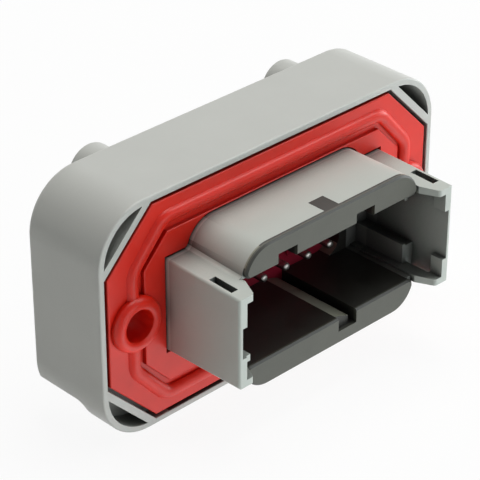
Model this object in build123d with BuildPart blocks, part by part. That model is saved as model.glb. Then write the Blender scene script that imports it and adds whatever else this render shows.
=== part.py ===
from math import sqrt
import os

from build123d import *

# Sealed flange-mount pin header, twelve ways in two rows of six.
# Millimetres. X runs across the flange, -Y is the mating direction and Z is up.
# The origin is on the bolt line, halfway between the bolts, in the plane of the flange rim.

os.makedirs("parts", exist_ok=True)

# Pins
PIN_COLUMNS = 6
PIN_PITCH = 5.65
ROW_SPACING = 9.7
PIN_RADIUS = 0.8
PIN_TIP_RADIUS = 0.6
PIN_TIP_SETBACK = 12.9          # bore mouth to pin tips
TAIL_RADIUS = 0.5
TAIL_BEND_RADIUS = 1.4
TAIL_ROW_PITCH = 2.54
TAIL_STANDOFF = 1.7             # back of the housing wall to the first row of tails
TAIL_BELOW_BOARD = 3.6          # tail ends under the board seat
PIN_CLEARANCE = 0.03

# Mating cavity and its keying liner
CAVITY_SIDE_MARGIN = 4.2        # outer pin axis to the cavity's side
CAVITY_FLOOR_MARGIN = 4.0       # pin axis to the cavity's floor
CAVITY_CORNER_RADIUS = 3.4
LINER_SIDE = 1.95
LINER_FLOOR = 4.05
LINER_CLEARANCE = 0.05
BEZEL_THICKNESS = 1.0
BEZEL_CLEARANCE = 0.05
BEZEL_EDGE = 0.35
BEZEL_END_RADIUS = 1.2
KEYWAY_DEPTH = 2.2
KEYWAY_WIDTH = 4.6
UPPER_KEYWAYS = (-11.5, 7.7)
LOWER_KEYWAY = 3.9
LOWER_KEYWAY_DEPTH = 2.7
LOWER_KEYWAY_SLOPE = 3.4
TAB_WIDTH = 3.5
TAB_LENGTH = 3.8
TAB_CLEARANCE = 0.05

# Shroud
SHROUD_WALL = 1.2
SHROUD_CORNER_RADIUS = 5.7
SHROUD_REACH = 13.3             # rim plane to the shroud's front edge
RECEPTACLE_RISE = 0.4           # receptacle axis above the bolt line
SIDE_WINDOW_DEPTH = 15.0        # open sides, measured back from the shroud's front edge

# Floor of the cavity: a coloured guide plate against the housing's pin wall
GUIDE_PLATE_THICKNESS = 3.0
GUIDE_PLATE_FRONT = 4.4
GUIDE_PLATE_CLEARANCE = 0.05
COLLAR_RADIUS = 1.7
COLLAR_HEIGHT = 0.6
PIN_WALL = 3.6
POTTING_DEPTH = 1.4
POTTING_MARGIN = 2.4

# Latch wings: the left one and its recess are lower than the right one, so that the plug
# fits one way round only
LATCH_CHANNEL = 3.2             # shroud side to the wing's inner face
LATCH_RISE = 0.15               # wing axis above the receptacle axis
WING_WALL = 1.8
WING_HEIGHTS = (18.8, 20.9)
WING_TAPER = 0.55               # each edge closes in by this much at the front
WING_REACH = 18.0               # rim plane to the wing's front edge
SHELF_THICKNESS = 1.3
SHELF_LIP = 3.3
WING_EDGE_RADIUS = 0.5
WING_NOSE_RADIUS = 0.8
WEB_RADIUS = 1.2
RECESS_HEIGHTS = (6.0, 10.0)
RECESS_DEPTH = 1.0
SLOT_WIDTH = 1.5
SLOT_LENGTH = 5.4
SLOT_FRONT = 2.7                # wing's front edge to the slot
RAIL_OVERLAP = 0.4              # rails close in on the recess by this much
RAIL_WIDTH = 1.75
CHANNEL_FLOOR = 1.7             # depth of the channel behind the rim plane
LUG_HEIGHT = 1.3
LUG_REACH = 2.1
LUG_SETBACK = 0.4

# Flange, seal pocket and corner cores
EYELET_LIP = 1.2                # sleeve to the eyelet's edge
EYELET_GAP = 1.9                # wing's outer face to the eyelet
EYELET_MARGIN = 6.4             # bolt axis to the pocket wall
SEAL_BAND = 7.65                # shroud to the pocket wall, above and below
RIM_WALL = 1.2
RIM_EDGE = 0.35
POCKET_EDGE = 0.2
FLANGE_CORNER_RADIUS = 10.4
FLANGE_DEPTH = 6.2
POCKET_DEPTH = 3.0
POCKET_CHAMFER_X = 10.7
POCKET_CHAMFER_Z = 10.9
CORNER_WEB = 1.4
UPPER_CORE_DEPTH = 12.0
CORE_FLOOR = 1.6

# Rear skirt, board seat, bolt bosses and posts
SKIRT_DEPTH = 17.3
SKIRT_WALL = 1.8
SKIRT_EDGE_RADIUS = 1.0
STEP_FILLET = 1.6
BOARD_DROP = 2.3                # shroud's underside to the board seat
BOLT_EASE = 0.2                 # bolt hole behind the sleeve, wider than the eyelet's bore
BOLT_BOSS_WALL = 1.95           # round the sleeve's hole
BOLT_BOSS_LENGTH = 3.3
POST_RADIUS = 4.85
POST_INSET_X = 17.8
POST_INSET_Z = 5.95
POST_REACH = 5.4                # past the skirt's rear edge
POST_HOLE_RADIUS = 1.7
POST_HOLE_DEPTH = 11.0
POST_EDGE = 0.4
RIB_THICKNESS = 1.5

# Panel gasket
GASKET_GAP = 0.65               # gasket edge to the pocket wall
GASKET_SETBACK = 0.1
GASKET_EDGE = 0.3
GASKET_OPENING_GAP = 0.3
BEAD_HEIGHT = 0.9
BEAD_WIDTH = 2.6
BEAD_INSET_X = 6.15             # pocket wall to the bead's centre line
BEAD_INSET_Z = 4.05
BEAD_CHAMFER_X = 7.1
BEAD_CHAMFER_Z = 8.05
BEAD_CORNER_RADIUS = 3.6
GROOVE_DEPTH = 0.4              # between the bead and the inner pad
PAD_HEIGHT = 0.4
PAD_EDGE = 0.25
PAD_INSET_X = 8.5               # pocket wall to the pad's edge
PAD_INSET_Z = 6.75
PAD_CHAMFER_X = 5.4
PAD_CHAMFER_Z = 5.7
EYELET_HEIGHT = 1.75
EYELET_RIM_HEIGHT = 1.45
EYELET_BORE = 3.1
EYELET_TUBE_WALL = 0.9
EYELET_TUBE_LENGTH = 4.0
EYELET_CLEARANCE = 0.05

# Tail guide plate
TAIL_PLATE_THICKNESS = 1.6
TAIL_PLATE_SIDE = 3.0
TAIL_PLATE_MARGIN = 1.6
TAIL_HOLE_CLEARANCE = 0.08
TAIL_PLATE_CLEARANCE = 0.05

# Sizes that follow from the ones above
GRID_X = (PIN_COLUMNS - 1) * PIN_PITCH / 2
CAVITY_X = GRID_X + CAVITY_SIDE_MARGIN
CAVITY_Z = ROW_SPACING / 2 + CAVITY_FLOOR_MARGIN
LINER_X = CAVITY_X + LINER_SIDE
LINER_Z = CAVITY_Z + LINER_FLOOR
BORE_X = LINER_X + LINER_CLEARANCE
BORE_Z = LINER_Z + LINER_CLEARANCE
SHROUD_X = BORE_X + SHROUD_WALL
SHROUD_Z = BORE_Z + SHROUD_WALL
BORE_RADIUS = SHROUD_CORNER_RADIUS - SHROUD_WALL
WINDOW_Y = SIDE_WINDOW_DEPTH - SHROUD_REACH
BEZEL_Y = -SHROUD_REACH - BEZEL_THICKNESS
WING_IN = SHROUD_X + LATCH_CHANNEL
WING_OUT = WING_IN + WING_WALL
SHELF_IN = WING_OUT - SHELF_LIP
WING_Z = RECEPTACLE_RISE + LATCH_RISE
EYELET_RADIUS = EYELET_BORE + EYELET_TUBE_WALL + EYELET_LIP
SLEEVE_HOLE_RADIUS = EYELET_BORE + EYELET_TUBE_WALL + EYELET_CLEARANCE
BOLT_X = WING_OUT + EYELET_GAP + EYELET_RADIUS
POCKET_X = BOLT_X + EYELET_MARGIN
POCKET_Z = SHROUD_Z + SEAL_BAND
FLANGE_X = POCKET_X + RIM_WALL
FLANGE_Z = POCKET_Z + RIM_WALL
WALL_FRONT = GUIDE_PLATE_FRONT + GUIDE_PLATE_THICKNESS
WALL_BACK = WALL_FRONT + PIN_WALL
POTTING_FRONT = WALL_BACK - POTTING_DEPTH
PIN_TIP_Y = PIN_TIP_SETBACK - SHROUD_REACH
SHROUD_BOTTOM = RECEPTACLE_RISE - SHROUD_Z
BOARD_Z = SHROUD_BOTTOM - BOARD_DROP
TAIL_END_Z = BOARD_Z - TAIL_BELOW_BOARD
LOWER_TAIL_Y = WALL_BACK + TAIL_STANDOFF
UPPER_TAIL_Y = LOWER_TAIL_Y + TAIL_ROW_PITCH
POST_X = FLANGE_X - POST_INSET_X
POST_Z = FLANGE_Z - POST_INSET_Z
POST_END = SKIRT_DEPTH + POST_REACH
BEAD_X = POCKET_X - BEAD_INSET_X
BEAD_Z = POCKET_Z - BEAD_INSET_Z
COLUMNS = [(i - (PIN_COLUMNS - 1) / 2) * PIN_PITCH for i in range(PIN_COLUMNS)]
ROWS = {
    "lower": (RECEPTACLE_RISE - ROW_SPACING / 2, LOWER_TAIL_Y),
    "upper": (RECEPTACLE_RISE + ROW_SPACING / 2, UPPER_TAIL_Y),
}


def station(y):
    """Cross-section plane at depth y; it extrudes towards the mating side."""
    return Plane.XZ.offset(-y)


def octagon(half_x, half_z, chamfer_x, chamfer_z):
    """Rectangle with its four corners cut off straight."""
    with BuildSketch() as face:
        with BuildLine():
            Polyline(
                (half_x, half_z - chamfer_z),
                (half_x - chamfer_x, half_z),
                (chamfer_x - half_x, half_z),
                (-half_x, half_z - chamfer_z),
                (-half_x, chamfer_z - half_z),
                (chamfer_x - half_x, -half_z),
                (half_x - chamfer_x, -half_z),
                (half_x, chamfer_z - half_z),
                close=True,
            )
        make_face()
    return face.sketch


def pocket_outline(grow=0.0):
    """Outline of the seal pocket, moved outwards by grow."""
    with BuildSketch() as face:
        add(octagon(POCKET_X, POCKET_Z, POCKET_CHAMFER_X, POCKET_CHAMFER_Z))
        if grow:
            offset(amount=grow, kind=Kind.INTERSECTION)
    return face.sketch


def receptacle_outline(half_x, half_z, radius):
    """Rounded rectangle about the receptacle's axis."""
    with BuildSketch() as face:
        with Locations((0, RECEPTACLE_RISE)):
            RectangleRounded(2 * half_x, 2 * half_z, radius)
    return face.sketch


def bead_outline(grow=0.0):
    """Line of the sealing bead, moved outwards by grow."""
    with BuildSketch() as face:
        add(octagon(BEAD_X, BEAD_Z, BEAD_CHAMFER_X, BEAD_CHAMFER_Z))
        fillet(face.vertices(), BEAD_CORNER_RADIUS)
        if grow:
            offset(amount=grow, kind=Kind.ARC)
    return face.sketch


def tower_outline(grow=0.0, root_radius=WEB_RADIUS):
    """Section of the shroud with both wings where they leave the flange, moved outwards by grow."""
    with BuildSketch() as face:
        add(receptacle_outline(SHROUD_X, SHROUD_Z, SHROUD_CORNER_RADIUS))
        for side, height in zip((-1, 1), WING_HEIGHTS):
            with Locations((side * WING_OUT / 2, WING_Z)):
                Rectangle(WING_OUT, height)
        if root_radius:
            roots = face.vertices().filter_by(lambda v: SHROUD_X - SHROUD_WALL < abs(v.X) < WING_IN)
            fillet(roots, root_radius)
        if grow:
            offset(amount=grow, kind=Kind.INTERSECTION)
    return face.sketch


def edges_at(part, axis, y=None, z=None, tol=0.01):
    """Straight edges along an axis that lie at the given depth and height."""
    found = part.edges().filter_by(axis)
    if y is not None:
        found = found.filter_by_position(Axis.Y, y - tol, y + tol)
    if z is not None:
        found = found.filter_by_position(Axis.Z, z - tol, z + tol)
    return found


def latch_wing(height, recess_height):
    """Right-hand latch wing: a side plate with two shelves that reach back to the shroud.

    The three make a channel that is open to the front. A slot goes through each shelf and on
    down the plate, and a rail lies behind it.
    """
    top = WING_Z + height / 2
    bottom = WING_Z - height / 2
    root = SHROUD_X - SHROUD_WALL / 2
    slot_x = WING_IN + RECESS_DEPTH - SLOT_WIDTH / 2
    slot_y = -WING_REACH + SLOT_FRONT + SLOT_LENGTH / 2
    rail_y = -WING_REACH + SLOT_FRONT + SLOT_LENGTH
    channel = height - 2 * (SHELF_THICKNESS + WING_TAPER)
    rail_height = (channel - recess_height) / 2 + RAIL_OVERLAP
    with BuildPart() as wing:
        # Side view: the plate closes in a little towards the front
        with BuildSketch(Plane.YZ.offset(root)) as side_view:
            with BuildLine():
                Polyline(
                    (POCKET_DEPTH, bottom),
                    (-WING_REACH, bottom + WING_TAPER),
                    (-WING_REACH, top - WING_TAPER),
                    (POCKET_DEPTH, top),
                    close=True,
                )
            make_face()
            fillet(side_view.vertices().group_by(Axis.Y)[0], WING_NOSE_RADIUS)
        extrude(amount=WING_OUT - root)
        rim = wing.faces().sort_by(Axis.X)[-1].edges()
        fillet(rim.filter_by_position(Axis.Y, -2 * WING_REACH, POCKET_DEPTH - 0.1), WING_EDGE_RADIUS)
        # Channel between the plate and the shroud
        with BuildSketch(station(CHANNEL_FLOOR)):
            with Locations(((root + WING_IN) / 2, WING_Z)):
                Rectangle(WING_IN - root, channel)
        extrude(amount=CHANNEL_FLOOR + WING_REACH, mode=Mode.SUBTRACT)
        # Rails behind the slots
        with BuildSketch(station(CHANNEL_FLOOR)):
            with Locations((WING_IN - RAIL_WIDTH / 2, WING_Z)):
                with GridLocations(0, channel - rail_height, 1, 2):
                    Rectangle(RAIL_WIDTH, rail_height)
        extrude(amount=CHANNEL_FLOOR - rail_y)
        # Latch recess in the plate's inner face
        with BuildSketch(station(CHANNEL_FLOOR)):
            with Locations((WING_IN, WING_Z)):
                Rectangle(2 * RECESS_DEPTH, recess_height)
        extrude(amount=CHANNEL_FLOOR + WING_REACH, mode=Mode.SUBTRACT)
        # Slots
        with BuildSketch(Plane.XY.offset(bottom)):
            with Locations((slot_x, slot_y)):
                Rectangle(SLOT_WIDTH, SLOT_LENGTH)
        extrude(amount=height, mode=Mode.SUBTRACT)
        # In front of the shroud the shelves narrow to a lip
        with BuildSketch(Plane.XY.offset(bottom)):
            with BuildLine():
                Polyline(
                    (root, -SHROUD_REACH),
                    (SHROUD_X + BEZEL_CLEARANCE, -SHROUD_REACH),
                    (SHROUD_X + BEZEL_CLEARANCE, BEZEL_Y),
                    (SHELF_IN, -WING_REACH),
                    (root, -WING_REACH),
                    close=True,
                )
            make_face()
        extrude(amount=height, mode=Mode.SUBTRACT)
        tips = wing.edges().filter_by_position(Axis.X, SHELF_IN - 0.01, SHELF_IN + 0.01)
        fillet(tips.filter_by(Axis.Z), WING_NOSE_RADIUS)
    return wing.part


left_wing, right_wing = (latch_wing(*sizes) for sizes in zip(WING_HEIGHTS, RECESS_HEIGHTS))


# Moulded header housing
with BuildPart() as header_housing:
    # Skirt behind the flange, cut off level with the circuit board's seat
    with BuildSketch(station(SKIRT_DEPTH)):
        RectangleRounded(2 * FLANGE_X, 2 * FLANGE_Z, FLANGE_CORNER_RADIUS)
        with Locations((0, BOARD_Z)):
            Rectangle(4 * FLANGE_X, 2 * FLANGE_Z, align=(Align.CENTER, Align.MAX), mode=Mode.SUBTRACT)
    extrude(amount=SKIRT_DEPTH - FLANGE_DEPTH)
    rear_edges = header_housing.faces().sort_by(Axis.Y)[-1].edges()
    fillet(rear_edges.filter_by_position(Axis.Z, BOARD_Z + 0.1, FLANGE_Z + 0.1), SKIRT_EDGE_RADIUS)
    with BuildSketch(station(FLANGE_DEPTH)):
        RectangleRounded(2 * FLANGE_X, 2 * FLANGE_Z, FLANGE_CORNER_RADIUS)
    extrude(amount=FLANGE_DEPTH)
    fillet(header_housing.faces().sort_by(Axis.Y)[0].edges(), RIM_EDGE)
    fillet(edges_at(header_housing, Axis.X, y=FLANGE_DEPTH, z=BOARD_Z), STEP_FILLET)
    # The skirt is open at the rear and underneath
    with BuildSketch(station(SKIRT_DEPTH)):
        add(pocket_outline())
        Rectangle(2 * POCKET_X, POCKET_Z * 2, align=(Align.CENTER, Align.MAX))
        Rectangle(2 * (FLANGE_X - SKIRT_WALL), 2 * (FLANGE_Z - SKIRT_WALL), mode=Mode.INTERSECT)
    extrude(amount=SKIRT_DEPTH - FLANGE_DEPTH, mode=Mode.SUBTRACT)
    # Corner cores between the round outer wall and the straight pocket wall
    for sign, depth in ((1, UPPER_CORE_DEPTH), (-1, FLANGE_DEPTH - CORE_FLOOR)):
        with BuildSketch(station(depth)):
            RectangleRounded(
                2 * (FLANGE_X - RIM_WALL), 2 * (FLANGE_Z - RIM_WALL), FLANGE_CORNER_RADIUS - RIM_WALL
            )
            add(pocket_outline(CORNER_WEB), mode=Mode.SUBTRACT)
            with Locations((0, sign * FLANGE_Z)):
                Rectangle(4 * FLANGE_X, 2 * FLANGE_Z, mode=Mode.INTERSECT)
        extrude(amount=depth, mode=Mode.SUBTRACT)
    # Seal pocket
    with BuildSketch(station(POCKET_DEPTH)):
        add(pocket_outline())
    extrude(amount=POCKET_DEPTH, mode=Mode.SUBTRACT)
    pocket_mouth = header_housing.edges(Select.LAST).filter_by_position(Axis.Y, -0.01, 0.01)
    fillet(pocket_mouth, POCKET_EDGE)
    # Bolt bosses and stiffening ribs behind the flange
    with BuildSketch(station(FLANGE_DEPTH + BOLT_BOSS_LENGTH)):
        with GridLocations(2 * BOLT_X, 0, 2, 1):
            Circle(SLEEVE_HOLE_RADIUS + BOLT_BOSS_WALL)
        with GridLocations(POCKET_X + SHROUD_X, 0, 2, 1):
            Rectangle(POCKET_X - SHROUD_X, RIB_THICKNESS)
    extrude(amount=BOLT_BOSS_LENGTH)
    # Posts that stand out past the skirt, joined to its top wall
    with BuildSketch(station(POST_END)):
        with Locations((0, POST_Z)):
            with GridLocations(2 * POST_X, 0, 2, 1):
                Circle(POST_RADIUS)
    extrude(amount=POST_END - FLANGE_DEPTH)
    post_ends = header_housing.faces().filter_by_position(Axis.Y, POST_END - 0.01, POST_END + 0.01)
    fillet(post_ends.edges(), POST_EDGE)
    with BuildSketch(station(SKIRT_DEPTH - SKIRT_EDGE_RADIUS)):
        with Locations((0, FLANGE_Z - SKIRT_WALL)):
            with GridLocations(2 * POST_X, 0, 2, 1):
                Rectangle(RIB_THICKNESS, POST_INSET_Z - SKIRT_WALL, align=(Align.CENTER, Align.MAX))
    extrude(amount=SKIRT_DEPTH - SKIRT_EDGE_RADIUS - FLANGE_DEPTH)
    # Receptacle: shroud in front, pin wall behind
    with BuildSketch(station(WALL_BACK)):
        add(receptacle_outline(SHROUD_X, SHROUD_Z, SHROUD_CORNER_RADIUS))
    extrude(amount=WALL_BACK + SHROUD_REACH)
    add(mirror(left_wing, about=Plane.YZ, mode=Mode.PRIVATE))
    add(right_wing)
    # Hollow webs where the shelves meet the shroud, leaning in with the wings
    web_run = POCKET_DEPTH + SHROUD_REACH
    web_lean = WING_TAPER * web_run / (POCKET_DEPTH + WING_REACH)
    for side in (-1, 1):
        with BuildSketch(station(POCKET_DEPTH)):
            add(tower_outline())
            add(tower_outline(root_radius=0.0), mode=Mode.SUBTRACT)
            with Locations((0, side * FLANGE_Z)):
                Rectangle(2 * FLANGE_X, 2 * FLANGE_Z, mode=Mode.INTERSECT)
        extrude(amount=sqrt(web_run**2 + web_lean**2), dir=(0, -web_run, -side * web_lean))
    # Stop lug under the left wing's recess
    with BuildSketch(station(-WING_REACH + SLOT_FRONT)):
        with Locations((-WING_IN - RECESS_DEPTH, WING_Z - RECESS_HEIGHTS[0] / 2)):
            Rectangle(LUG_REACH, LUG_HEIGHT, align=(Align.MIN, Align.MAX))
    extrude(amount=SLOT_FRONT - LUG_SETBACK)
    with BuildSketch(station(WALL_FRONT)):
        add(receptacle_outline(BORE_X, BORE_Z, BORE_RADIUS))
    extrude(amount=WALL_FRONT + SHROUD_REACH, mode=Mode.SUBTRACT)
    # Open sides, level with the cavity's floor and roof
    with BuildSketch(station(WINDOW_Y)):
        with Locations((0, RECEPTACLE_RISE)):
            Rectangle(2 * SHROUD_X, 2 * CAVITY_Z)
    extrude(amount=SIDE_WINDOW_DEPTH, mode=Mode.SUBTRACT)
    # Notch for the liner's locating tab
    with BuildSketch(station(-SHROUD_REACH + TAB_LENGTH + TAB_CLEARANCE)):
        with Locations((0, RECEPTACLE_RISE + SHROUD_Z)):
            Rectangle(
                TAB_WIDTH + 2 * TAB_CLEARANCE, SHROUD_WALL + LINER_CLEARANCE, align=(Align.CENTER, Align.MAX)
            )
    extrude(amount=TAB_LENGTH + TAB_CLEARANCE, mode=Mode.SUBTRACT)
    # Pin holes and the potting well at the back of the pin wall
    with BuildSketch(station(WALL_BACK)):
        with Locations((0, RECEPTACLE_RISE)):
            RectangleRounded(
                2 * (GRID_X + POTTING_MARGIN), ROW_SPACING + 2 * POTTING_MARGIN, POTTING_MARGIN / 2
            )
    extrude(amount=POTTING_DEPTH, mode=Mode.SUBTRACT)
    with BuildSketch(station(WALL_BACK)):
        with Locations((0, RECEPTACLE_RISE)):
            with GridLocations(PIN_PITCH, ROW_SPACING, PIN_COLUMNS, 2):
                Circle(PIN_RADIUS + PIN_CLEARANCE)
    extrude(amount=PIN_WALL, mode=Mode.SUBTRACT)
    # Bolt holes, opened out at the front for the gasket's eyelets
    with BuildSketch(station(FLANGE_DEPTH + BOLT_BOSS_LENGTH)):
        with GridLocations(2 * BOLT_X, 0, 2, 1):
            Circle(EYELET_BORE + BOLT_EASE)
    extrude(amount=FLANGE_DEPTH + BOLT_BOSS_LENGTH, mode=Mode.SUBTRACT)
    with BuildSketch(station(POCKET_DEPTH + EYELET_TUBE_LENGTH)):
        with GridLocations(2 * BOLT_X, 0, 2, 1):
            Circle(SLEEVE_HOLE_RADIUS)
    extrude(amount=POCKET_DEPTH + EYELET_TUBE_LENGTH, mode=Mode.SUBTRACT)
    # Screw holes in the posts
    with BuildSketch(station(POST_END)):
        with Locations((0, POST_Z)):
            with GridLocations(2 * POST_X, 0, 2, 1):
                Circle(POST_HOLE_RADIUS)
    extrude(amount=POST_HOLE_DEPTH, mode=Mode.SUBTRACT)

header_housing.part.label = "header_housing"
export_step(header_housing.part, "parts/header_housing.step")


# Keying liner: a sleeve in the shroud whose bezel covers the shroud's front edge
with BuildPart() as keying_liner:
    with BuildSketch(station(GUIDE_PLATE_FRONT)):
        add(receptacle_outline(LINER_X, LINER_Z, BORE_RADIUS - LINER_CLEARANCE))
    extrude(amount=GUIDE_PLATE_FRONT + SHROUD_REACH)
    with BuildSketch(station(-SHROUD_REACH)):
        add(receptacle_outline(SHROUD_X, SHROUD_Z, SHROUD_CORNER_RADIUS))
    extrude(amount=BEZEL_THICKNESS)
    # Cavity: round corners in the closed stretch, open sides in front of it
    with BuildSketch(station(GUIDE_PLATE_FRONT)):
        add(receptacle_outline(CAVITY_X, CAVITY_Z, CAVITY_CORNER_RADIUS))
    extrude(amount=GUIDE_PLATE_FRONT - BEZEL_Y, mode=Mode.SUBTRACT)
    with BuildSketch(station(WINDOW_Y)):
        with Locations((0, RECEPTACLE_RISE)):
            Rectangle(2 * SHROUD_X, 2 * CAVITY_Z)
    extrude(amount=WINDOW_Y - BEZEL_Y, mode=Mode.SUBTRACT)
    # The ends of the two lips are rounded off and the edges of the bezel are broken
    lip_ends = keying_liner.edges().filter_by(Axis.Y)
    lip_ends = lip_ends.filter_by_position(Axis.Y, BEZEL_Y, -SHROUD_REACH, (False, False))
    lip_ends = lip_ends.filter_by_position(
        Axis.Z, RECEPTACLE_RISE - CAVITY_Z - 0.01, RECEPTACLE_RISE + CAVITY_Z + 0.01
    )
    fillet(lip_ends, BEZEL_END_RADIUS)
    bezel_face = keying_liner.faces().filter_by(Axis.Y).group_by(Axis.Y)[0]
    chamfer(bezel_face.edges(), BEZEL_EDGE)
    # Keyways along the roof and the floor
    with BuildSketch(station(GUIDE_PLATE_FRONT)):
        for key_x in UPPER_KEYWAYS:
            with Locations((key_x, RECEPTACLE_RISE + CAVITY_Z)):
                Rectangle(KEYWAY_WIDTH, 2 * KEYWAY_DEPTH)
    extrude(amount=GUIDE_PLATE_FRONT - BEZEL_Y, mode=Mode.SUBTRACT)
    with BuildSketch(station(GUIDE_PLATE_FRONT)):
        floor_z = RECEPTACLE_RISE - CAVITY_Z
        key_left = LOWER_KEYWAY - KEYWAY_WIDTH / 2
        key_right = LOWER_KEYWAY + KEYWAY_WIDTH / 2
        with BuildLine():
            Polyline(
                (key_left, floor_z + 0.5),
                (key_left, floor_z),
                (key_left + LOWER_KEYWAY_SLOPE, floor_z - LOWER_KEYWAY_DEPTH),
                (key_right, floor_z - LOWER_KEYWAY_DEPTH),
                (key_right, floor_z + 0.5),
                close=True,
            )
        make_face()
    extrude(amount=GUIDE_PLATE_FRONT + SHROUD_REACH, mode=Mode.SUBTRACT)
    with BuildSketch(station(-SHROUD_REACH)):
        with Locations((LOWER_KEYWAY, floor_z)):
            Rectangle(KEYWAY_WIDTH, 2 * LOWER_KEYWAY_DEPTH)
    extrude(amount=BEZEL_THICKNESS, mode=Mode.SUBTRACT)
    # Locating tab on the roof
    with BuildSketch(station(-SHROUD_REACH + TAB_LENGTH)):
        with Locations((0, RECEPTACLE_RISE + SHROUD_Z)):
            Rectangle(TAB_WIDTH, SHROUD_WALL + 2 * LINER_CLEARANCE, align=(Align.CENTER, Align.MAX))
    extrude(amount=TAB_LENGTH)

keying_liner.part.label = "keying_liner"
export_step(keying_liner.part, "parts/keying_liner.step")


# Pin guide plate at the bottom of the cavity, with a collar round each pin
with BuildPart() as pin_guide_plate:
    plate_x = BORE_X - GUIDE_PLATE_CLEARANCE
    plate_z = BORE_Z - GUIDE_PLATE_CLEARANCE
    with BuildSketch(station(WALL_FRONT)):
        add(receptacle_outline(plate_x, plate_z, BORE_RADIUS - GUIDE_PLATE_CLEARANCE))
    extrude(amount=GUIDE_PLATE_THICKNESS)
    with BuildSketch(station(GUIDE_PLATE_FRONT)):
        with Locations((0, RECEPTACLE_RISE)):
            with GridLocations(PIN_PITCH, ROW_SPACING, PIN_COLUMNS, 2):
                Circle(COLLAR_RADIUS)
    extrude(amount=COLLAR_HEIGHT)
    with BuildSketch(station(WALL_FRONT)):
        with Locations((0, RECEPTACLE_RISE)):
            with GridLocations(PIN_PITCH, ROW_SPACING, PIN_COLUMNS, 2):
                Circle(PIN_RADIUS + PIN_CLEARANCE)
    extrude(amount=GUIDE_PLATE_THICKNESS + COLLAR_HEIGHT, mode=Mode.SUBTRACT)

pin_guide_plate.part.label = "pin_guide_plate"
export_step(pin_guide_plate.part, "parts/pin_guide_plate.step")


# Panel gasket: a flat band in the pocket. A round bead runs through an eyelet at each bolt, and
# a groove parts it from the raised pad round the shroud.
with BuildPart() as panel_gasket:
    with BuildSketch(station(POCKET_DEPTH)):
        add(pocket_outline(-GASKET_GAP))
    extrude(amount=POCKET_DEPTH - GASKET_SETBACK)
    fillet(panel_gasket.faces().sort_by(Axis.Y)[0].edges(), GASKET_EDGE)
    with BuildSketch(station(GASKET_SETBACK + GROOVE_DEPTH)):
        add(bead_outline(-BEAD_WIDTH / 2))
    extrude(amount=GROOVE_DEPTH, mode=Mode.SUBTRACT)
    with BuildSketch(station(GASKET_SETBACK + GROOVE_DEPTH)):
        add(octagon(POCKET_X - PAD_INSET_X, POCKET_Z - PAD_INSET_Z, PAD_CHAMFER_X, PAD_CHAMFER_Z))
    extrude(amount=GROOVE_DEPTH + PAD_HEIGHT)
    fillet(panel_gasket.faces().sort_by(Axis.Y)[0].edges(), PAD_EDGE)
    with BuildSketch(Plane.YZ):
        with BuildLine():
            foot = (GASKET_SETBACK, BEAD_Z - BEAD_WIDTH / 2)
            toe = (GASKET_SETBACK, BEAD_Z + BEAD_WIDTH / 2)
            ThreePointArc(foot, (GASKET_SETBACK - BEAD_HEIGHT, BEAD_Z), toe)
            Polyline(toe, (toe[0] + GROOVE_DEPTH, toe[1]), (foot[0] + GROOVE_DEPTH, foot[1]), foot)
        make_face()
    sweep(path=(station(GASKET_SETBACK) * bead_outline().face()).outer_wire())
    # Opening for the shroud and the wings
    with BuildSketch(station(POCKET_DEPTH)):
        add(tower_outline(GASKET_OPENING_GAP))
    extrude(amount=POCKET_DEPTH + BEAD_HEIGHT, mode=Mode.SUBTRACT)
    # Eyelets, each on a sleeve that lines the bolt hole
    for side in (-1, 1):
        inner = side * (BOLT_X + EYELET_BORE)
        sleeve = side * (BOLT_X + EYELET_BORE + EYELET_TUBE_WALL)
        outer = side * (BOLT_X + EYELET_RADIUS)
        with BuildSketch(Plane.XY):
            with BuildLine():
                Polyline(
                    (inner, GASKET_SETBACK - EYELET_RIM_HEIGHT),
                    (inner, POCKET_DEPTH + EYELET_TUBE_LENGTH),
                    (sleeve, POCKET_DEPTH + EYELET_TUBE_LENGTH),
                    (sleeve, POCKET_DEPTH),
                    (outer, POCKET_DEPTH),
                    (outer, GASKET_SETBACK),
                )
                ThreePointArc(
                    (outer, GASKET_SETBACK),
                    (sleeve, GASKET_SETBACK - EYELET_HEIGHT),
                    (inner, GASKET_SETBACK - EYELET_RIM_HEIGHT),
                )
            make_face()
        revolve(axis=Axis((side * BOLT_X, 0, 0), (0, 1, 0)))
    with BuildSketch(station(POCKET_DEPTH)):
        with GridLocations(2 * BOLT_X, 0, 2, 1):
            Circle(EYELET_BORE)
    extrude(amount=POCKET_DEPTH + 2 * EYELET_HEIGHT, mode=Mode.SUBTRACT)

panel_gasket.part.label = "panel_gasket"
export_step(panel_gasket.part, "parts/panel_gasket.step")


# Potting that seals the pins at the back of the pin wall
with BuildPart() as pin_potting:
    with BuildSketch(station(WALL_BACK)):
        with Locations((0, RECEPTACLE_RISE)):
            RectangleRounded(
                2 * (GRID_X + POTTING_MARGIN), ROW_SPACING + 2 * POTTING_MARGIN, POTTING_MARGIN / 2
            )
            with GridLocations(PIN_PITCH, ROW_SPACING, PIN_COLUMNS, 2):
                Circle(TAIL_RADIUS + PIN_CLEARANCE, mode=Mode.SUBTRACT)
    extrude(amount=POTTING_DEPTH)

pin_potting.part.label = "pin_potting"
export_step(pin_potting.part, "parts/pin_potting.step")


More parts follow.
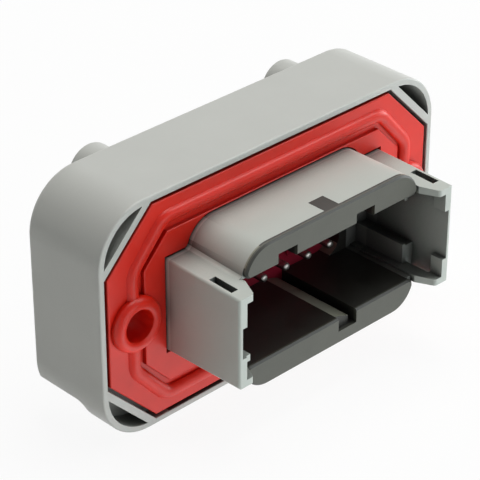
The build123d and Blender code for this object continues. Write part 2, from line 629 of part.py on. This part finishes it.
# Tail guide plate, which keeps the bent tails in line for the board
with BuildPart() as tail_guide_plate:
    plate_front = FLANGE_DEPTH + TAIL_PLATE_CLEARANCE
    plate_rear = UPPER_TAIL_Y + TAIL_RADIUS + TAIL_PLATE_MARGIN
    with BuildSketch(Plane.XY.offset(SHROUD_BOTTOM - TAIL_PLATE_THICKNESS)):
        with Locations((0, (plate_front + plate_rear) / 2)):
            Rectangle(2 * (GRID_X + TAIL_PLATE_SIDE), plate_rear - plate_front)
        for tail_y in (LOWER_TAIL_Y, UPPER_TAIL_Y):
            with Locations((0, tail_y)):
                with GridLocations(PIN_PITCH, 0, PIN_COLUMNS, 1):
                    Circle(TAIL_RADIUS + TAIL_HOLE_CLEARANCE, mode=Mode.SUBTRACT)
    extrude(amount=TAIL_PLATE_THICKNESS)

tail_guide_plate.part.label = "tail_guide_plate"
export_step(tail_guide_plate.part, "parts/tail_guide_plate.step")


# Contact pins: a round blade in the cavity and a thinner tail bent down to the board
for row, (pin_z, tail_y) in ROWS.items():
    for number, pin_x in enumerate(COLUMNS, start=1):
        with BuildPart() as contact_pin:
            with BuildSketch(station(POTTING_FRONT)):
                with Locations((pin_x, pin_z)):
                    Circle(PIN_RADIUS)
            extrude(amount=POTTING_FRONT - PIN_TIP_Y)
            fillet(contact_pin.faces().sort_by(Axis.Y)[0].edges(), PIN_TIP_RADIUS)
            with BuildLine() as tail_path:
                FilletPolyline(
                    (pin_x, POTTING_FRONT, pin_z),
                    (pin_x, tail_y, pin_z),
                    (pin_x, tail_y, TAIL_END_Z),
                    radius=TAIL_BEND_RADIUS,
                )
            with BuildSketch(Plane(origin=(pin_x, POTTING_FRONT, pin_z), z_dir=(0, 1, 0))):
                Circle(TAIL_RADIUS)
            sweep(path=tail_path.line)
        name = f"pin_{row}_{number}"
        contact_pin.part.label = name
        export_step(contact_pin.part, f"parts/{name}.step")
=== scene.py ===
"""Studio view of a sealed flange-mount pin header with a red panel gasket."""

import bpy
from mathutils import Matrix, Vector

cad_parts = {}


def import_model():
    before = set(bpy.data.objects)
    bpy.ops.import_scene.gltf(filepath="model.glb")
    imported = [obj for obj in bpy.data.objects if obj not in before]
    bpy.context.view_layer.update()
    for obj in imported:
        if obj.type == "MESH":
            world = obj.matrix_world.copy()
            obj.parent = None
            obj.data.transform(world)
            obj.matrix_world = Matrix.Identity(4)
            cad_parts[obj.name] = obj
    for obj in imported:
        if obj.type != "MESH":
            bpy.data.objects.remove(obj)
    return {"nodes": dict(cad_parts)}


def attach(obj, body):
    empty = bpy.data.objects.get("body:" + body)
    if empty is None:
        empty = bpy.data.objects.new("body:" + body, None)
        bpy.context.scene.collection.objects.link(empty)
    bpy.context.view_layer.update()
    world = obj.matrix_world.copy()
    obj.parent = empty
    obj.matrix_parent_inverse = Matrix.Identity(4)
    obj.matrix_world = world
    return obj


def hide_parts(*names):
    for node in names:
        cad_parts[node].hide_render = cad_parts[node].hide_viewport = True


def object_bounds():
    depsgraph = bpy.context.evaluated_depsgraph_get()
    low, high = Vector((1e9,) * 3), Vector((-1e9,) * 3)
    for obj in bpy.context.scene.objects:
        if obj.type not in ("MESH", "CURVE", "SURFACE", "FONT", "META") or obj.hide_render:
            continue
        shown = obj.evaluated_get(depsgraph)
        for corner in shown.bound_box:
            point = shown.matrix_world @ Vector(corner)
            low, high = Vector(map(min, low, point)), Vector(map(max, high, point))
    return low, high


bl_info = {
    "name": "Sealed header studio",
    "version": (1, 0, 0),
    "blender": (4, 5, 0),
    "location": "View3D > Sidebar > Header",
    "description": "Finishes, lamps and camera for a sealed flange-mount pin header",
    "category": "Object",
}

from collections import namedtuple

import bmesh
import bpy
from bpy.props import FloatProperty, FloatVectorProperty, PointerProperty
from mathutils import Matrix, Vector

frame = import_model()
CAD_BOX = [list(corner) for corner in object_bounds()]
PINS = sorted(name for name in frame["nodes"] if name.startswith(("pin_upper", "pin_lower")))

MM = 0.001

# The camera stands as it stood for the photograph: its own right, up and backward directions
# in the part's frame, and its place in metres.
CAMERA_RIGHT = (0.715672, -0.698431, 0.001091)
CAMERA_UP = (0.357255, 0.367412, 0.858707)
CAMERA_BACK = (-0.600154, -0.614161, 0.512472)
CAMERA_PLACE = (-0.233822, -0.230219, 0.198133)
CAMERA_LENS = 161.41
CAMERA_SENSOR = 36.0

# The skirt's straight walls and the posts' straight stretch: where each starts and ends in depth.
SKIRT_WALL = (12.2 * MM, 16.2 * MM)
POST_SHAFT = (17.4 * MM, 22.0 * MM)

# The ramp in the floor's keyway, in millimetres: its section in x and z, and its two ends in depth.
RAMP_SECTION = ((1.6, -8.45), (5.0, -9.6), (5.0, -11.15))
RAMP_ENDS = (-13.29, 4.39)

# Sockets of Blender's colour mixer: the factor, the two colours and the outcome.
MIX_FACTOR, MIX_FIRST, MIX_SECOND, MIX_OUTCOME = 0, 6, 7, 2

# Painted shade in places that lie shut in: how far away a surface still counts, in millimetres,
# the openness at which the painted shade is full and at which it ends, and its darkest factor.
CREVICE = (3.0, 0.1, 0.9, 0.35)
WIDE_CORNER = (10.0, 0.35, 1.0, 0.6)
GASKET_CORNER = (3.5, 0.1, 0.8, 0.55)
BETWEEN_PINS = (12.0, 0.1, 0.9, 0.2)
# The same painted shade for the space in the receptacle, where each piece has a darkest factor of its
# own.
CAVITY = (30.0, 0.08, 0.8)

# Faces that lean sideways, where painted light takes the place of painted shade, and chamfers round
# the front, which get painted shade: the axis, the share of the normal along it, and how far the share
# may be off.
SIDEWAYS = ("X", 0.6, 0.3)
CHAMFERED = ("Y", 0.7, 0.15)

# Everything in front of this depth, in millimetres, belongs to the receptacle or to a wing.
FLANGE_FRONT = -1.0
# The red gasket throws its colour on the receptacle; this takes some of it away.
AGAINST_RED = (0.945, 1.0, 0.98, 1.0)

# How painted shade darkens the inner faces of a piece: the region reaches half_width to each side
# and starts behind front, both in millimetres. Its faces get painted shade by dim, and by least
# too in its depth. Faces that lean sideways catch the light and get the factor lift in place of
# both: painted light where lift is above 1.
Inside = namedtuple("Inside", "half_width front dim least lift")
HOUSING_INSIDE = Inside(half_width=26.1, front=-18.5, dim=1.0, least=0.15, lift=1.0)
LINER_INSIDE = Inside(half_width=30.0, front=-13.6, dim=0.28, least=0.3, lift=3.7)

SILICONE_BLOOM = (0.72, 0.25, 0.20, 1.0)

LAMP_DISTANCE = 1.2
WARM = (1.0, 0.995, 0.965)
COOL = (0.92, 0.985, 1.0)

# The floor: how far its look is lifted to white, and the colour that it throws on the part.
FLOOR_LIFT = 0.92
FLOOR_BOUNCE = (0.85, 0.85, 0.83, 1.0)
WHITE = (1.0, 1.0, 1.0, 1.0)


# Node helpers


def finish_of(name):
    """A new node material; gives back the material, its node tree and its shader."""
    made = bpy.data.materials.new(name)
    made.use_nodes = True
    tree = made.node_tree
    return made, tree, tree.nodes["Principled BSDF"]


def node(tree, kind, **sockets):
    """A node with the given sockets set to a value, or joined where the value is a socket."""
    made = tree.nodes.new(kind)
    for key, value in sockets.items():
        socket = made.inputs[key.replace("_", " ")]
        if isinstance(value, bpy.types.NodeSocket):
            tree.links.new(value, socket)
        else:
            socket.default_value = value
    return made


def place_on_part(tree):
    """Coordinates in the part's own frame, in metres."""
    return tree.nodes.new("ShaderNodeTexCoord").outputs["Object"]


def speckle(tree, where, size, detail=3.0, rough=0.55):
    """Soft noise whose blotches are about size millimetres across."""
    scale = 1.0 / (size * MM)
    made = node(tree, "ShaderNodeTexNoise", Vector=where, Scale=scale, Detail=detail, Roughness=rough)
    return made.outputs["Fac"]


def between(tree, value, low, high):
    """Noise between 0.3 and 0.7 turned into a number between low and high."""
    made = node(tree, "ShaderNodeMapRange", Value=value)
    made.inputs["From Min"].default_value = 0.3
    made.inputs["From Max"].default_value = 0.7
    made.inputs["To Min"].default_value = low
    made.inputs["To Max"].default_value = high
    return made.outputs["Result"]


def mixed(tree, factor, first, second, blend_type="MIX"):
    """First colour, changed by the second one to the share of the factor."""
    made = tree.nodes.new("ShaderNodeMix")
    made.data_type = "RGBA"
    made.blend_type = blend_type
    for index, value in ((MIX_FACTOR, factor), (MIX_FIRST, first), (MIX_SECOND, second)):
        socket = made.inputs[index]
        if isinstance(value, bpy.types.NodeSocket):
            tree.links.new(value, socket)
        else:
            socket.default_value = value
    return made.outputs[MIX_OUTCOME]


def multiplied(tree, base, factor):
    """The colour times a grey from a socket, times a colour or times a plain number."""
    if isinstance(factor, float):
        factor = (factor, factor, factor, 1.0)
    return mixed(tree, 1.0, base, factor, "MULTIPLY")


def openness(tree, reach, low, high, least):
    """Painted shade: 1 in the open, down to least where pieces within reach millimetres shut a place
    in.
    """
    around = node(tree, "ShaderNodeAmbientOcclusion", Distance=reach * MM)
    around.samples = 12
    share = node(tree, "ShaderNodeMapRange", Value=around.outputs["AO"])
    share.interpolation_type = "SMOOTHSTEP"
    share.inputs["From Min"].default_value = low
    share.inputs["From Max"].default_value = high
    share.inputs["To Min"].default_value = least
    return share.outputs["Result"]


def number(tree, operation, first, *others):
    """The outcome of one sum or comparison with plain numbers."""
    made = tree.nodes.new("ShaderNodeMath")
    made.operation = operation
    tree.links.new(first, made.inputs[0])
    for socket, value in zip(made.inputs[1:], others):
        socket.default_value = value
    return made.outputs[0]


def along(tree, vector, axis):
    """One of the three numbers of a vector."""
    return node(tree, "ShaderNodeSeparateXYZ", Vector=vector).outputs[axis]


def near_middle(tree, where, half_width):
    """1 within half_width millimetres of the middle plane, and 0 further out."""
    return number(tree, "COMPARE", along(tree, where, "X"), 0.0, half_width * MM)


def before(tree, where, depth):
    """1 in front of a plane at this depth in millimetres, and 0 behind it."""
    return number(tree, "LESS_THAN", along(tree, where, "Y"), depth * MM)


def leaning(tree, axis, middle, reach):
    """1 on faces whose normal has about this share along the axis, and 0 on the others."""
    facing = tree.nodes.new("ShaderNodeTexCoord").outputs["Normal"]
    share = number(tree, "ABSOLUTE", along(tree, facing, axis))
    return number(tree, "COMPARE", share, middle, reach)


def shade(colour, factor):
    """The colour made lighter or darker."""
    return (*(min(1.0, c * factor) for c in colour), 1.0)


def relief(tree, height, depth, strength, under=None):
    """Fine surface relief of the given depth in millimetres."""
    made = node(tree, "ShaderNodeBump", Height=height, Distance=depth * MM, Strength=strength)
    if under is not None:
        tree.links.new(under, made.inputs["Normal"])
    return made.outputs["Normal"]


# Finishes


def shaded_inside(tree, where, base, inside):
    """The colour with painted shade in the corners round the receptacle and in the space in it."""
    # Painted shade in the corners round the receptacle, with a tint against the gasket's red light.
    nook = multiplied(tree, base, openness(tree, *WIDE_CORNER))
    nook = multiplied(tree, nook, AGAINST_RED)
    base = mixed(tree, before(tree, where, FLANGE_FRONT), base, nook)
    # Painted shade in the space of the receptacle.
    shaded = multiplied(tree, base, openness(tree, *CAVITY, inside.least))
    shaded = multiplied(tree, shaded, inside.dim)
    # Painted light on faces that lean sideways.
    lifted = multiplied(tree, base, inside.lift)
    shaded = mixed(tree, leaning(tree, *SIDEWAYS), shaded, lifted)
    shaded = mixed(tree, before(tree, where, inside.front), shaded, base)
    return mixed(tree, near_middle(tree, where, inside.half_width), base, shaded)


def moulded_plastic(name, colour, roughness, grain, depth, cloud, inside=None, gap_shade=None):
    """Injection-moulded plastic: faint clouding, fine speckle, the mould's spark-eroded grain, painted
    shade in crevices and, where inside is given, painted shade and painted light in the receptacle.

    grain is the grain's size and depth its relief, in millimetres. gap_shade darkens the chamfers
    round the front with painted shade of the gap where the piece meets its neighbour.
    """
    made, tree, shader = finish_of(name)
    where = place_on_part(tree)
    clouds = between(tree, speckle(tree, where, 11.0), 0.0, 1.0)
    base = mixed(tree, clouds, shade(colour, 1 - cloud), shade(colour, 1 + cloud))
    dots = between(tree, speckle(tree, where, grain * 1.7, 2.0, 0.7), 0.0, 0.35)
    base = mixed(tree, dots, base, shade(colour, 1 - 1.6 * cloud))
    # Painted shade in crevices.
    base = multiplied(tree, base, openness(tree, *CREVICE))
    if inside:
        base = shaded_inside(tree, where, base, inside)
    # Painted shade on the front chamfers, for the dark gap to the next piece.
    if gap_shade:
        base = mixed(tree, leaning(tree, *CHAMFERED), base, multiplied(tree, base, gap_shade))
    tree.links.new(base, shader.inputs["Base Color"])
    worn = speckle(tree, where, 3.5, 4.0)
    tree.links.new(between(tree, worn, roughness - 0.06, roughness + 0.07), shader.inputs["Roughness"])
    grains = speckle(tree, where, grain, 2.0, 0.6)
    tree.links.new(relief(tree, grains, depth, 0.35), shader.inputs["Normal"])
    return made


def silicone_rubber(name, colour, roughness):
    """Moulded silicone: red with faint clouding, a soft pale bloom, painted shade in its corners and a
    smooth, slightly wavy skin.
    """
    made, tree, shader = finish_of(name)
    where = place_on_part(tree)
    clouds = between(tree, speckle(tree, where, 8.0), 0.0, 1.0)
    base = mixed(tree, clouds, shade(colour, 0.93), shade(colour, 1.07))
    bloom = between(tree, speckle(tree, where, 0.9, 5.0, 0.65), 0.0, 0.02)
    base = mixed(tree, bloom, base, SILICONE_BLOOM)
    # Painted shade in the gasket's grooves and corners.
    base = multiplied(tree, base, openness(tree, *GASKET_CORNER))
    tree.links.new(base, shader.inputs["Base Color"])
    wet = speckle(tree, where, 2.4, 4.0)
    tree.links.new(between(tree, wet, roughness - 0.03, roughness + 0.04), shader.inputs["Roughness"])
    skin = relief(tree, speckle(tree, where, 0.35, 2.0, 0.6), 0.02, 0.08)
    ripples = relief(tree, speckle(tree, where, 4.5, 1.0), 0.05, 0.04, skin)
    tree.links.new(ripples, shader.inputs["Normal"])
    shader.inputs["Specular IOR Level"].default_value = 0.37
    return made


def plated_metal(name, colour, roughness):
    """Plated metal with faint stains, drawing lines along the wire and painted shade between the pins.
    """
    made, tree, shader = finish_of(name)
    where = place_on_part(tree)
    stretched = node(tree, "ShaderNodeMapping", Vector=where, Scale=(1.0, 0.08, 1.0)).outputs["Vector"]
    lines = speckle(tree, stretched, 0.12, 2.0)
    stains = between(tree, speckle(tree, where, 1.6, 3.0), 0.0, 1.0)
    base = mixed(tree, stains, shade(colour, 0.92), shade(colour, 1.05))
    # Painted shade between the pins.
    base = multiplied(tree, base, openness(tree, *BETWEEN_PINS))
    tree.links.new(base, shader.inputs["Base Color"])
    tree.links.new(between(tree, lines, roughness - 0.06, roughness + 0.08), shader.inputs["Roughness"])
    tree.links.new(relief(tree, lines, 0.004, 0.3), shader.inputs["Normal"])
    shader.inputs["Metallic"].default_value = 1.0
    return made


def cast_resin(name, colour, roughness):
    """Poured potting resin: glossy, with the slow swell of a cured pour."""
    made, tree, shader = finish_of(name)
    where = place_on_part(tree)
    swell = speckle(tree, where, 5.0, 1.0)
    base = mixed(tree, between(tree, swell, 0.0, 1.0), shade(colour, 0.8), shade(colour, 1.3))
    tree.links.new(base, shader.inputs["Base Color"])
    tree.links.new(between(tree, swell, roughness, roughness + 0.08), shader.inputs["Roughness"])
    tree.links.new(relief(tree, swell, 0.25, 0.4), shader.inputs["Normal"])
    shader.inputs["Coat Weight"].default_value = 0.4
    shader.inputs["Coat Roughness"].default_value = 0.08
    return made


def dress(pieces, material):
    """Puts one finish on the pieces."""
    for piece in pieces:
        for slot in piece.material_slots:
            slot.material = material


def dress_nodes(names, material):
    """Puts one finish on the named CAD nodes."""
    dress([frame["nodes"][name] for name in names], material)


def placed(name, data):
    """A new object in the scene, made of the given mesh, lamp or camera."""
    made = bpy.data.objects.new(name, data)
    bpy.context.scene.collection.objects.link(made)
    return made


def share_of(depth, start, end):
    """How far a depth lies from start to end, from 0 to 1."""
    return min(1.0, max(0.0, (depth - start) / (end - start)))


def moved_back(depth, length):
    """Where a point at this depth lies once the skirt's straight walls are longer.

    The posts' straight stretch takes up what the skirt gains, so their ends stay in place.
    """
    return depth + length * (share_of(depth, *SKIRT_WALL) - share_of(depth, *POST_SHAFT))


def full_housing(skirt_length):
    """The housing with its skirt's full length, in the place of the CAD node."""
    mesh = frame["nodes"]["header_housing"].data.copy()
    for vertex in mesh.vertices:
        vertex.co.y = moved_back(vertex.co.y, skirt_length)
    piece = placed("header_housing_full_skirt", mesh)
    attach(piece, "root")
    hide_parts("header_housing")
    return piece


def keyway_ramp():
    """The gentle ramp in the floor's keyway, which lies on the CAD node's steeper one."""
    shape = bmesh.new()
    front, back = (
        [shape.verts.new((x * MM, depth * MM, z * MM)) for x, z in RAMP_SECTION] for depth in RAMP_ENDS
    )
    shape.faces.new(front)
    shape.faces.new(back[::-1])
    for i in range(3):
        j = (i + 1) % 3
        shape.faces.new((front[i], back[i], back[j], front[j]))
    bmesh.ops.recalc_face_normals(shape, faces=shape.faces)
    mesh = bpy.data.meshes.new("keyway_ramp")
    shape.to_mesh(mesh)
    shape.free()
    piece = placed("keyway_ramp", mesh)
    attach(piece, "root")
    return piece


# Settings


def colour_setting(name, description, default):
    return FloatVectorProperty(
        name=name, description=description, default=default, subtype="COLOR", size=3, min=0.0, max=1.0
    )


def share_setting(name, description, default):
    return FloatProperty(
        name=name, description=description, default=default, subtype="FACTOR", min=0.0, max=1.0
    )


def power_setting(name, description, default):
    return FloatProperty(name=name, description=description, default=default, unit="POWER", min=0.0)


class HousingSettings(bpy.types.PropertyGroup):
    """Light grey moulded housing"""

    skirt_length: FloatProperty(
        name="Skirt length",
        description="Added to the skirt behind the flange",
        default=0.001,
        unit="LENGTH",
    )
    colour: colour_setting("Colour", "Colour of the housing's plastic", (0.53, 0.535, 0.51))
    roughness: share_setting("Roughness", "Dullness of the housing's skin", 0.36)


class LinerSettings(bpy.types.PropertyGroup):
    """Dark keying liner"""

    colour: colour_setting("Colour", "Colour of the liner's plastic", (0.077, 0.0745, 0.060))
    roughness: share_setting("Roughness", "Dullness of the liner's skin", 0.46)


class GasketSettings(bpy.types.PropertyGroup):
    """Red silicone panel gasket"""

    colour: colour_setting("Colour", "Colour of the silicone", (0.74, 0.015, 0.004))
    roughness: share_setting("Roughness", "Dullness of the silicone's skin", 0.33)


class InnerPartSettings(bpy.types.PropertyGroup):
    """Guide plates, potting and contacts"""

    guide_colour: colour_setting("Guide plate", "Colour of the pin guide plate", (0.36, 0.004, 0.03))
    tail_colour: colour_setting("Tail plate", "Colour of the tail guide plate", (0.03, 0.03, 0.03))
    resin_colour: colour_setting("Potting", "Colour of the potting resin", (0.012, 0.012, 0.014))
    contact_colour: colour_setting("Contacts", "Colour of the plating", (0.44, 0.43, 0.41))
    contact_roughness: share_setting("Contact roughness", "Dullness of the plating", 0.4)


class StageSettings(bpy.types.PropertyGroup):
    """Studio floor and lamps"""

    floor_colour: colour_setting("Floor", "Colour of the studio floor", (0.92, 0.92, 0.92))
    top_power: power_setting("Top lamp", "Power of the large lamp overhead", 11.6)
    front_power: power_setting("Front lamp", "Power of the cool lamp in front", 2.0)
    edge_power: power_setting("Edge lamp", "Power of the small lamp that lights up edges", 2.2)
    left_power: power_setting("Left lamp", "Power of the weak lamp at the left", 0.8)
    side_power: power_setting("Side lamp", "Power of the cool lamp at the right", 7.6)
    table_power: power_setting("Table lamp", "Power of the lamp under the light table", 7.8)
    sky: share_setting("Sky", "Strength of the even light from all round", 0.0)


# Operators


class HEADER_OT_housing(bpy.types.Operator):
    """Finishes the moulded header housing"""

    bl_idname = "header.housing"
    bl_label = "Finish housing"

    def execute(self, context):
        look = context.scene.header_housing
        finish = moulded_plastic(
            "light grey plastic", look.colour, look.roughness, 0.28, 0.02, 0.02, HOUSING_INSIDE
        )
        dress([full_housing(look.skirt_length)], finish)
        return {"FINISHED"}


class HEADER_OT_liner(bpy.types.Operator):
    """Finishes the keying liner"""

    bl_idname = "header.liner"
    bl_label = "Finish liner"

    def execute(self, context):
        look = context.scene.header_liner
        finish = moulded_plastic(
            "dark liner plastic", look.colour, look.roughness, 0.25, 0.02, 0.08, LINER_INSIDE, gap_shade=0.3
        )
        dress_nodes(["keying_liner"], finish)
        keyway_ramp().data.materials.append(finish)
        return {"FINISHED"}


class HEADER_OT_gasket(bpy.types.Operator):
    """Finishes the panel gasket"""

    bl_idname = "header.gasket"
    bl_label = "Finish gasket"

    def execute(self, context):
        look = context.scene.header_gasket
        dress_nodes(["panel_gasket"], silicone_rubber("red silicone", look.colour, look.roughness))
        return {"FINISHED"}


class HEADER_OT_guides(bpy.types.Operator):
    """Finishes the pin guide plate and the tail guide plate"""

    bl_idname = "header.guides"
    bl_label = "Finish guide plates"

    def execute(self, context):
        look = context.scene.header_inner
        red = moulded_plastic("red guide plastic", look.guide_colour, 0.4, 0.3, 0.02, 0.06)
        black = moulded_plastic("black guide plastic", look.tail_colour, 0.5, 0.3, 0.03, 0.15)
        dress_nodes(["pin_guide_plate"], red)
        dress_nodes(["tail_guide_plate"], black)
        return {"FINISHED"}


class HEADER_OT_potting(bpy.types.Operator):
    """Finishes the potting behind the pin wall"""

    bl_idname = "header.potting"
    bl_label = "Finish potting"

    def execute(self, context):
        look = context.scene.header_inner
        dress_nodes(["pin_potting"], cast_resin("black potting resin", look.resin_colour, 0.12))
        return {"FINISHED"}


class HEADER_OT_contacts(bpy.types.Operator):
    """Finishes the twelve contact pins"""

    bl_idname = "header.contacts"
    bl_label = "Finish contacts"

    def execute(self, context):
        look = context.scene.header_inner
        dress_nodes(PINS, plated_metal("contact plating", look.contact_colour, look.contact_roughness))
        return {"FINISHED"}


def aim(lamp, place, target):
    """Puts a lamp in its place and turns it to the target."""
    lamp.location = place
    lamp.rotation_mode = "QUATERNION"
    lamp.rotation_quaternion = (target - place).to_track_quat("-Z", "Y")


def soft_lamp(name, direction, size, power, colour, target):
    """A large lamp, size metres wide and high, that stands in the given direction from the part."""
    lamp = bpy.data.lights.new(name, "AREA")
    lamp.shape = "RECTANGLE"
    lamp.size, lamp.size_y = size
    lamp.energy = power
    lamp.color = colour
    aim(placed(name, lamp), target + Vector(direction).normalized() * LAMP_DISTANCE, target)


def seen_directly(tree):
    """1 for what the camera sees, also in a gloss or through glass, and 0 for light on its way."""
    path = tree.nodes.new("ShaderNodeLightPath")
    total = path.outputs["Is Camera Ray"]
    for ray in ("Is Glossy Ray", "Is Transmission Ray"):
        most = tree.nodes.new("ShaderNodeMath")
        most.operation = "MAXIMUM"
        tree.links.new(total, most.inputs[0])
        tree.links.new(path.outputs[ray], most.inputs[1])
        total = most.outputs[0]
    return total


def floor_finish(colour):
    """Matt floor that looks white and keeps the part's shadow."""
    made, tree, shader = finish_of("studio floor")
    out = next(n for n in tree.nodes if n.type == "OUTPUT_MATERIAL")
    shader.inputs["Roughness"].default_value = 0.9
    shader.inputs["Specular IOR Level"].default_value = 0.0
    where = place_on_part(tree)
    mottle = between(tree, speckle(tree, where, 60.0), 0.0, 1.0)
    base = mixed(tree, mottle, shade(colour, 0.99), shade(colour, 1.01))
    tree.links.new(base, shader.inputs["Base Color"])
    white = node(tree, "ShaderNodeEmission", Color=WHITE, Strength=1.0).outputs[0]
    lifted = tree.nodes.new("ShaderNodeMixShader")
    lifted.inputs[0].default_value = FLOOR_LIFT
    tree.links.new(shader.outputs[0], lifted.inputs[1])
    tree.links.new(white, lifted.inputs[2])
    dim = node(tree, "ShaderNodeBsdfDiffuse", Color=FLOOR_BOUNCE).outputs[0]
    chosen = tree.nodes.new("ShaderNodeMixShader")
    tree.links.new(seen_directly(tree), chosen.inputs[0])
    tree.links.new(dim, chosen.inputs[1])
    tree.links.new(lifted.outputs[0], chosen.inputs[2])
    tree.links.new(chosen.outputs[0], out.inputs["Surface"])
    return made


class HEADER_OT_stage(bpy.types.Operator):
    """Sets up the floor, the lamps, the sky and the camera"""

    bl_idname = "header.stage"
    bl_label = "Set up studio"

    def execute(self, context):
        scene = context.scene
        look = scene.header_stage
        low, high = (Vector(corner) for corner in CAD_BOX)
        centre = (low + high) / 2

        bpy.ops.mesh.primitive_plane_add(size=6.0, location=(centre.x, centre.y, low.z))
        floor = context.object
        floor.name = "studio_floor"
        floor.data.materials.append(floor_finish(look.floor_colour))
        floor.visible_shadow = False  # a light table: the lamp below shines through it

        lamps = (
            ("top lamp", (0.2, 0.1, 0.97), (0.9, 0.7), look.top_power, WARM),
            ("front lamp", (0.1, -0.99, 0.1), (0.9, 0.25), look.front_power, COOL),
            ("edge lamp", (0.6, -0.42, 0.68), (0.25, 0.25), look.edge_power, COOL),
            ("left lamp", (-0.95, -0.15, 0.25), (0.7, 0.7), look.left_power, COOL),
            ("side lamp", (0.95, -0.3, 0.1), (0.7, 0.7), look.side_power, COOL),
            ("table lamp", (0.33, -0.69, -0.64), (0.9, 0.9), look.table_power, COOL),
        )
        for name, direction, size, power, colour in lamps:
            soft_lamp(name, direction, size, power, colour, centre)

        world = bpy.data.worlds.new("studio sky")
        scene.world = world
        world.use_nodes = True
        tree = world.node_tree
        sky = tree.nodes["Background"]
        sky.inputs["Color"].default_value = WHITE
        level = tree.nodes.new("ShaderNodeMix")
        tree.links.new(seen_directly(tree), level.inputs[0])
        level.inputs[2].default_value = look.sky
        level.inputs[3].default_value = 1.0
        tree.links.new(level.outputs[0], sky.inputs["Strength"])

        lens = bpy.data.cameras.new("photograph camera")
        lens.lens = CAMERA_LENS
        lens.sensor_width = CAMERA_SENSOR
        lens.clip_start = 0.01
        lens.clip_end = 20.0
        camera = placed("photograph camera", lens)
        turned = Matrix((CAMERA_RIGHT, CAMERA_UP, CAMERA_BACK)).transposed().to_4x4()
        camera.matrix_world = Matrix.Translation(CAMERA_PLACE) @ turned
        scene.camera = camera
        scene.view_settings.view_transform = "Standard"
        return {"FINISHED"}


class HEADER_PT_sidebar(bpy.types.Panel):
    """Settings and steps of the header's studio"""

    bl_idname = "HEADER_PT_sidebar"
    bl_label = "Sealed header"
    bl_space_type = "VIEW_3D"
    bl_region_type = "UI"
    bl_category = "Header"

    def draw(self, context):
        for step, group, fields in STEPS:
            box = self.layout.box()
            for field in fields:
                box.prop(getattr(context.scene, group), field)
            box.operator(step.bl_idname)


LAMP_FIELDS = ("top_power", "front_power", "edge_power", "left_power", "side_power", "table_power")
STEPS = (
    (HEADER_OT_housing, "header_housing", ("skirt_length", "colour", "roughness")),
    (HEADER_OT_liner, "header_liner", ("colour", "roughness")),
    (HEADER_OT_gasket, "header_gasket", ("colour", "roughness")),
    (HEADER_OT_guides, "header_inner", ("guide_colour", "tail_colour")),
    (HEADER_OT_potting, "header_inner", ("resin_colour",)),
    (HEADER_OT_contacts, "header_inner", ("contact_colour", "contact_roughness")),
    (HEADER_OT_stage, "header_stage", ("floor_colour", *LAMP_FIELDS, "sky")),
)
GROUPS = {
    "header_housing": HousingSettings,
    "header_liner": LinerSettings,
    "header_gasket": GasketSettings,
    "header_inner": InnerPartSettings,
    "header_stage": StageSettings,
}


def register():
    for name, group in GROUPS.items():
        bpy.utils.register_class(group)
        setattr(bpy.types.Scene, name, PointerProperty(type=group))
    for step, _, _ in STEPS:
        bpy.utils.register_class(step)
    bpy.utils.register_class(HEADER_PT_sidebar)


def unregister():
    bpy.utils.unregister_class(HEADER_PT_sidebar)
    for step, _, _ in reversed(STEPS):
        bpy.utils.unregister_class(step)
    for name, group in GROUPS.items():
        delattr(bpy.types.Scene, name)
        bpy.utils.unregister_class(group)


def main():
    register()
    bpy.ops.header.housing()
    bpy.ops.header.liner()
    bpy.ops.header.gasket()
    bpy.ops.header.guides()
    bpy.ops.header.potting()
    bpy.ops.header.contacts()
    bpy.ops.header.stage()


if __name__ == "__main__":
    main()
